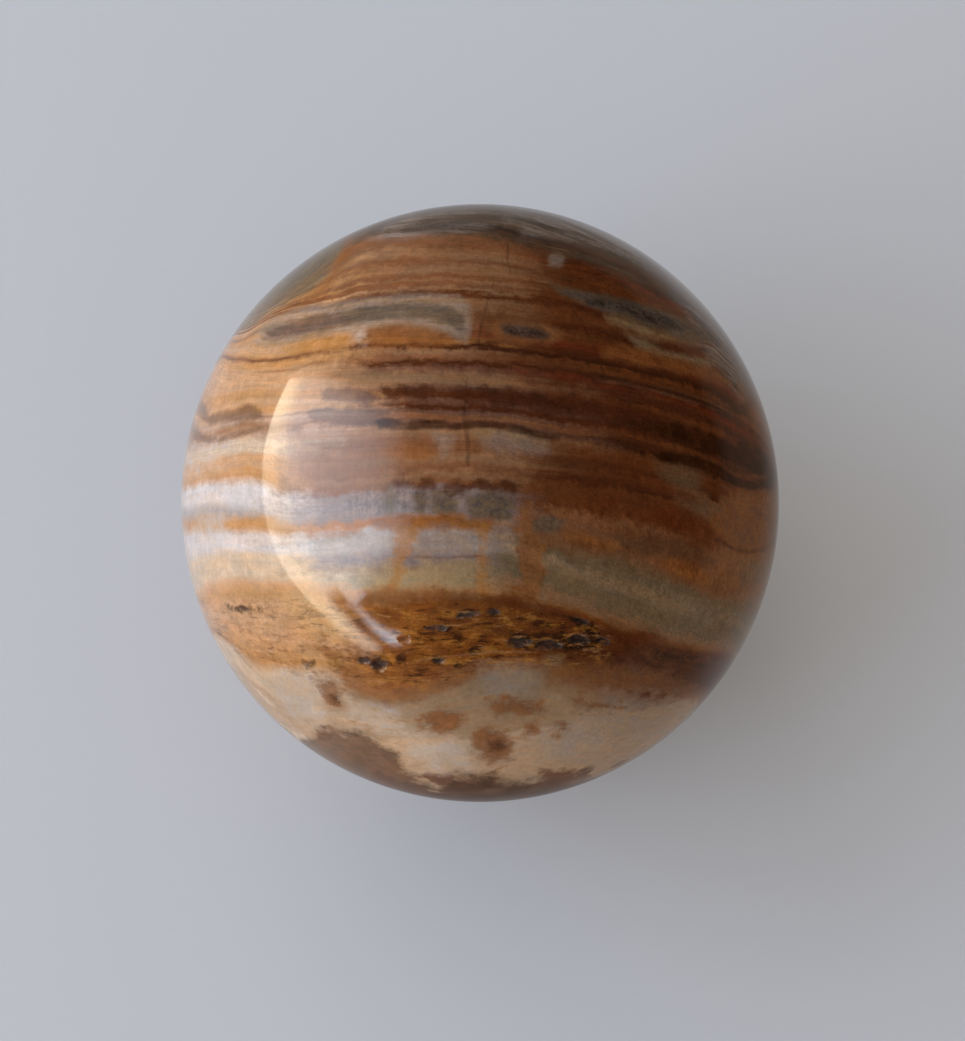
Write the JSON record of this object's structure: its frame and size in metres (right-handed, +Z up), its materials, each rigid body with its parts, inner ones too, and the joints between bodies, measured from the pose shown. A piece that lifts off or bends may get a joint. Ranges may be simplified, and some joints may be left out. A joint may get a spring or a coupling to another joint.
{
  "type": "onyx sphere",
  "caption": "Polished ball of banded brown and cream onyx with a pitted ochre seam, resting on a small ground flat.",
  "frame": {"origin": "middle of the ground foot on the underside, where the ball rests", "axes": "+Z up from the foot; the stone's layers lie across a line in the YZ plane, 18 degrees above +Y, which points from the ochre seam towards the reddish bands"},
  "size_m": [0.076, 0.076, 0.0753],
  "materials": {
    "polished_onyx": "high polish over brown, cream, grey and ochre bands, with small open pits in the ochre seam"
  },
  "bodies": {
    "root": {"onyx_sphere": "polished_onyx"}
  },
  "joints": []
}
